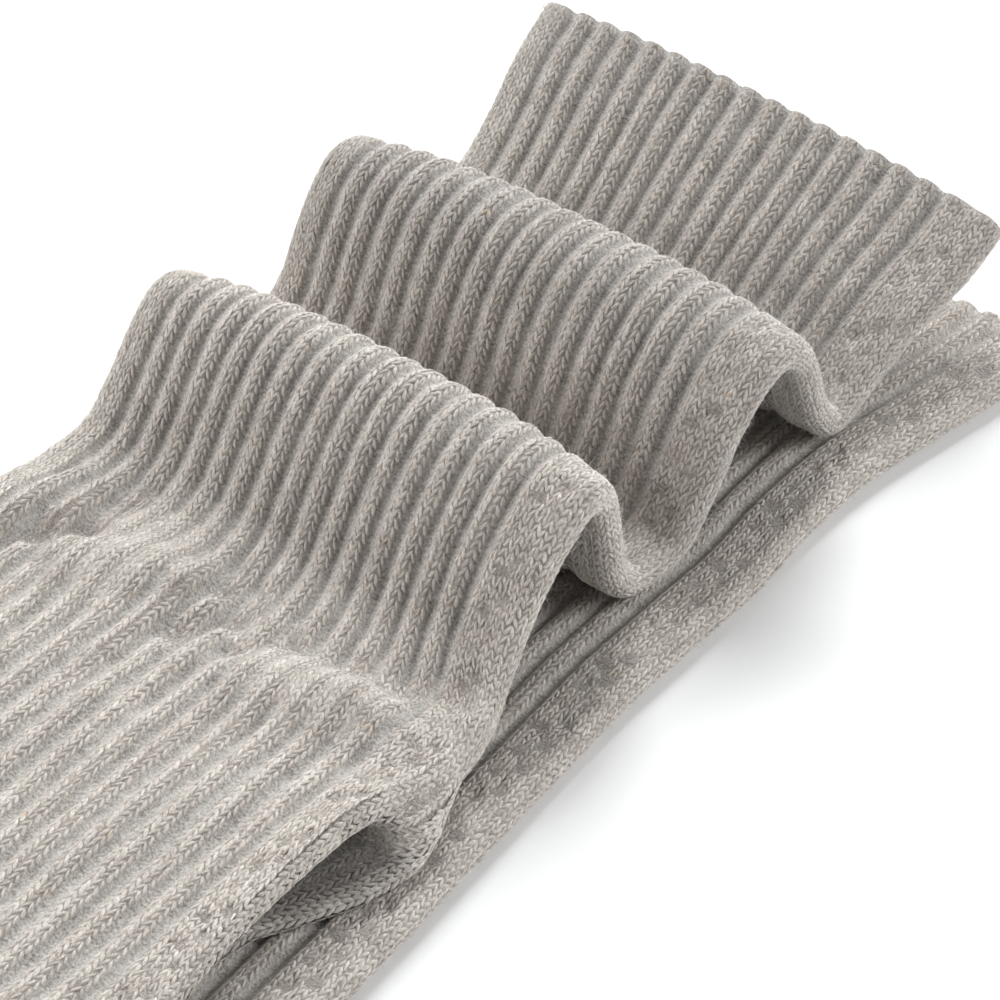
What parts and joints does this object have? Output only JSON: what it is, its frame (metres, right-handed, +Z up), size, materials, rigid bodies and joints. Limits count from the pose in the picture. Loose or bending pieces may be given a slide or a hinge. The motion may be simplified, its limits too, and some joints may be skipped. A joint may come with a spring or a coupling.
{
  "type": "pair of toe socks",
  "caption": "Pair of long ribbed heather-grey toe socks lying one on the other, the upper one's leg pushed into soft waves.",
  "frame": {"origin": "centre of the pair's bounding box, on the surface it lies on", "axes": "+X across the socks, +Y along them towards the cuffs, +Z up"},
  "size_m": [0.1098, 0.4218, 0.034],
  "materials": {
    "heather_knit": "soft heathered rib knit"
  },
  "bodies": {
    "root": {"upper_sock": "heather_knit", "upper_toe_1": "heather_knit", "upper_toe_2": "heather_knit", "upper_toe_3": "heather_knit", "upper_toe_4": "heather_knit", "upper_toe_5": "heather_knit", "lower_sock": "heather_knit", "lower_toe_1": "heather_knit", "lower_toe_2": "heather_knit", "lower_toe_3": "heather_knit", "lower_toe_4": "heather_knit", "lower_toe_5": "heather_knit"}
  },
  "joints": []
}
